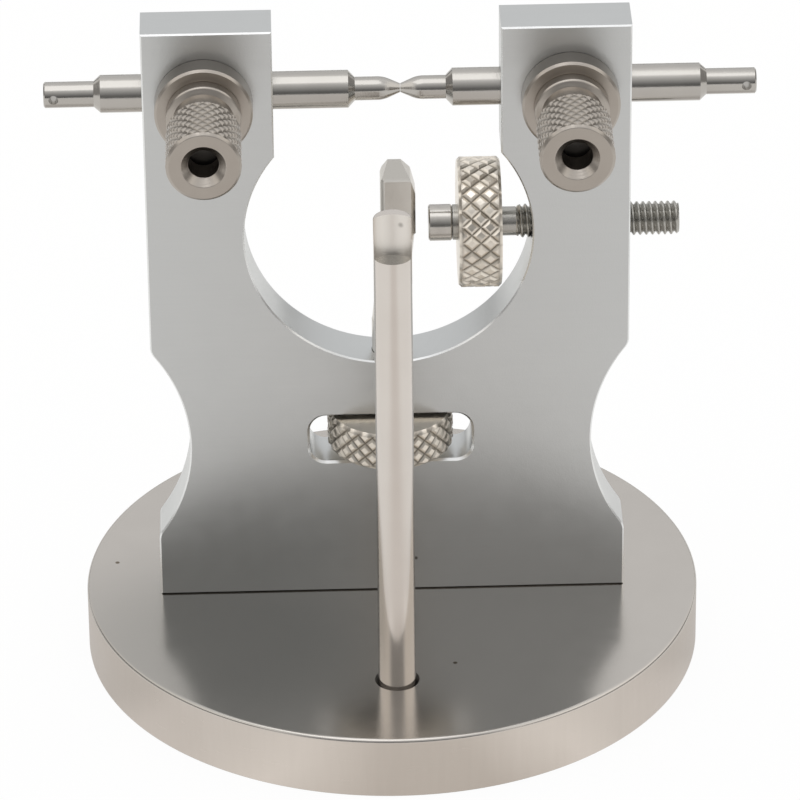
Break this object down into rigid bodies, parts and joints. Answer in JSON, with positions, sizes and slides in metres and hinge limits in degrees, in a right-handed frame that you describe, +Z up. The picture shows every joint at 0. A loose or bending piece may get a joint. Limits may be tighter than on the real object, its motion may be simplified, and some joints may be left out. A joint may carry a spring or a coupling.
{
  "type": "balance truing caliper",
  "caption": "Bench caliper for truing watch and clock balances: an upright plate on a round base holds two clamped runners nose to nose, with a raised index and a side index.",
  "frame": {"origin": "centre of the base disc's underside", "axes": "+Z up, +X along the runners towards the side index's screw, +Y from the front post towards the plate's back"},
  "size_m": [0.0749, 0.0668, 0.075],
  "materials": {
    "base": "bright nickel plating over turned steel",
    "screw_steel": "plain turned steel",
    "plate": "fine satin, clear anodised",
    "spring_steel": "tempered spring steel",
    "bolt_steel": "turned steel",
    "runner_steel": "polished steel",
    "clamp_nickel": "nickel plated, diamond knurled barrel",
    "index_steel": "nickel plated, diamond knurled rim",
    "blade_steel": "polished steel",
    "post_steel": "polished steel"
  },
  "bodies": {
    "stand": {"base_disc": "base", "plate_screws": "screw_steel", "frame_plate": "plate", "guide_pin": "screw_steel", "spring_washer": "spring_steel", "clamp_bolt_left": "bolt_steel", "clamp_bolt_right": "bolt_steel"},
    "runner_left": {"runner_left": "runner_steel"},
    "runner_right": {"runner_right": "runner_steel"},
    "clamp_collar_left": {"clamp_collar_left": "clamp_nickel"},
    "clamp_collar_right": {"clamp_collar_right": "clamp_nickel"},
    "clamp_nut_left": {"clamp_nut_left": "clamp_nickel"},
    "clamp_nut_right": {"clamp_nut_right": "clamp_nickel"},
    "lateral_tip": {"lateral_tip": "index_steel"},
    "lateral_screw": {"lateral_screw": "index_steel"},
    "index_nut": {"index_nut": "index_steel"},
    "index_blade": {"index_blade": "blade_steel"},
    "front_post": {"front_post": "post_steel"}
  },
  "joints": [
    {"name": "runner_left_slide", "type": "slide", "parent": "stand", "child": "runner_left", "axis": [-1, 0, 0], "range_m": [0, 0.012]},
    {"name": "runner_right_slide", "type": "slide", "parent": "stand", "child": "runner_right", "axis": [1, 0, 0], "range_m": [0, 0.012]},
    {"name": "clamp_left_travel", "type": "slide", "parent": "stand", "child": "clamp_collar_left", "axis": [0, -1, 0], "range_m": [0, 0.00133]},
    {"name": "clamp_left_turn", "type": "hinge", "parent": "clamp_collar_left", "child": "clamp_nut_left", "pos_m": [-0.0192, 0, 0.0669], "axis": [0, -1, 0], "range_deg": [0, 720]},
    {"name": "clamp_right_travel", "type": "slide", "parent": "stand", "child": "clamp_collar_right", "axis": [0, -1, 0], "range_m": [0, 0.00133]},
    {"name": "clamp_right_turn", "type": "hinge", "parent": "clamp_collar_right", "child": "clamp_nut_right", "pos_m": [0.0192, 0, 0.0669], "axis": [0, -1, 0], "range_deg": [0, 720]},
    {"name": "lateral_travel", "type": "slide", "parent": "stand", "child": "lateral_tip", "axis": [1, 0, 0], "range_m": [-0.0011, 0.0011]},
    {"name": "lateral_spin", "type": "hinge", "parent": "lateral_tip", "child": "lateral_screw", "pos_m": [0.01, 0, 0.0508], "axis": [1, 0, 0], "range_deg": [-590, 590]},
    {"name": "index_nut_spin", "type": "hinge", "parent": "stand", "child": "index_nut", "pos_m": [0, 0, 0.0264], "axis": [0, 0, 1], "range_deg": [-2160, 2160]},
    {"name": "blade_lift", "type": "slide", "parent": "stand", "child": "index_blade", "axis": [0, 0, 1], "range_m": [-0.004, 0.004]},
    {"name": "post_turn", "type": "hinge", "parent": "stand", "child": "front_post", "pos_m": [0, -0.0213, 0], "axis": [0, 0, 1], "continuous": true}
  ],
  "couplings": [
    {"joint": "clamp_left_travel", "follows": "clamp_left_turn", "m_per_rad": 0.00010504},
    {"joint": "clamp_right_travel", "follows": "clamp_right_turn", "m_per_rad": 0.00010504},
    {"joint": "lateral_travel", "follows": "lateral_spin", "m_per_rad": 0.00010504},
    {"joint": "blade_lift", "follows": "index_nut_spin", "m_per_rad": -0.00010504}
  ]
}
